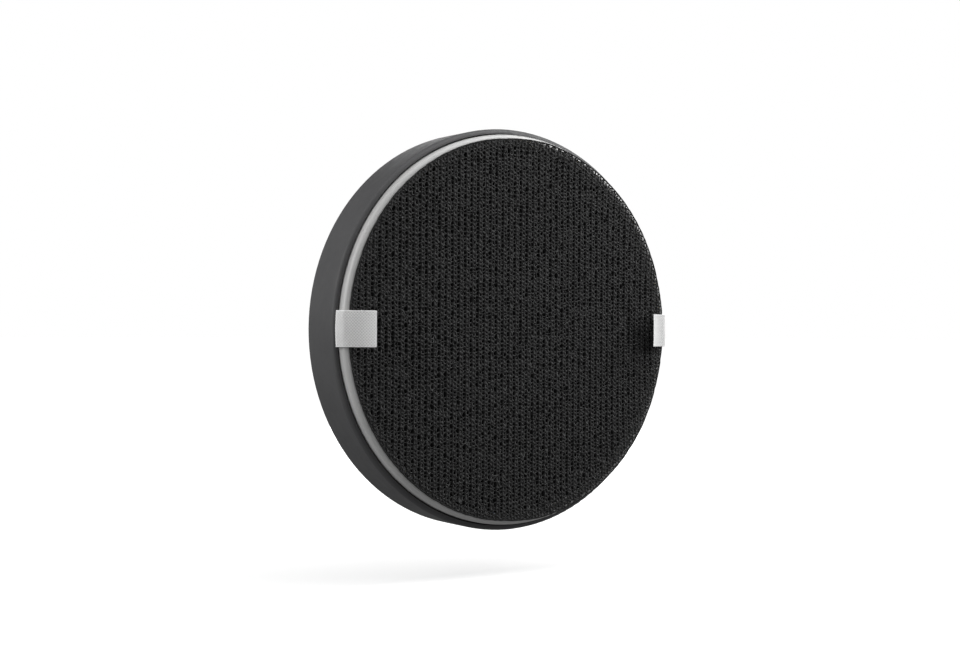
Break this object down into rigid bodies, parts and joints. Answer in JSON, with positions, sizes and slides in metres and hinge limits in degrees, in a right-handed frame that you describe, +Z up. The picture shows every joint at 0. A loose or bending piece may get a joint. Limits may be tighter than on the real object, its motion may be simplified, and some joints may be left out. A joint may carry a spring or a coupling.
{
  "type": "air purifier filter cartridge",
  "caption": "Round air purifier filter cartridge with a dark outer frame, a light core ring, a black front net over pleated media, and woven pull tabs.",
  "frame": {"origin": "centre of the plane of the frame's rear rim, on the disc's axis", "axes": "+Y along the disc's axis, out of the rear seat; the net faces -Y; +Z up; the pull tabs lie at -X and +X"},
  "size_m": [0.235, 0.0427, 0.235],
  "materials": {
    "frame_plastic": "fine spark-eroded texture",
    "gasket_foam": "closed-cell foam",
    "guard_plastic": "moulded satin",
    "support_net": "extruded net",
    "core_plastic": "smooth matte",
    "hot_melt": "translucent glue",
    "potting": "cast polyurethane",
    "edge_fleece": "non-woven fleece",
    "fine_media": "fine glass-fibre paper",
    "carbon_scrim": "thin non-woven",
    "carbon_board": "dyed board",
    "carbon_cloth": "carbon-loaded fleece",
    "black_net": "knitted polyester net",
    "net_adhesive": "black glue",
    "tab_webbing": "woven polyester tape",
    "tab_adhesive": "adhesive film"
  },
  "bodies": {
    "cartridge": {"outer_frame": "frame_plastic", "rear_gasket": "gasket_foam", "rear_guard": "guard_plastic", "rear_support_net": "support_net", "core_ring": "core_plastic", "frame_glue_ring": "hot_melt", "potting_ring": "potting", "media_edge_band": "edge_fleece", "hepa_pleats": "fine_media", "front_pleat_beads": "hot_melt", "rear_pleat_beads": "hot_melt", "carbon_scrim": "carbon_scrim", "carbon_frame": "carbon_board", "carbon_pleats": "carbon_cloth", "net_glue_ring": "net_adhesive", "front_net": "black_net", "left_tab_anchor": "tab_webbing", "left_tab_adhesive": "tab_adhesive", "right_tab_anchor": "tab_webbing", "right_tab_adhesive": "tab_adhesive"},
    "left_tab": {"left_tab_flap": "tab_webbing"},
    "right_tab": {"right_tab_flap": "tab_webbing"}
  },
  "joints": [
    {"name": "left_tab_lift", "type": "hinge", "parent": "cartridge", "child": "left_tab", "pos_m": [-0.11141, -0.03531, 0], "axis": [0, 0, -1], "range_deg": [-12, 80]},
    {"name": "right_tab_lift", "type": "hinge", "parent": "cartridge", "child": "right_tab", "pos_m": [0.11141, -0.03531, 0], "axis": [0, 0, 1], "range_deg": [-12, 80]}
  ]
}
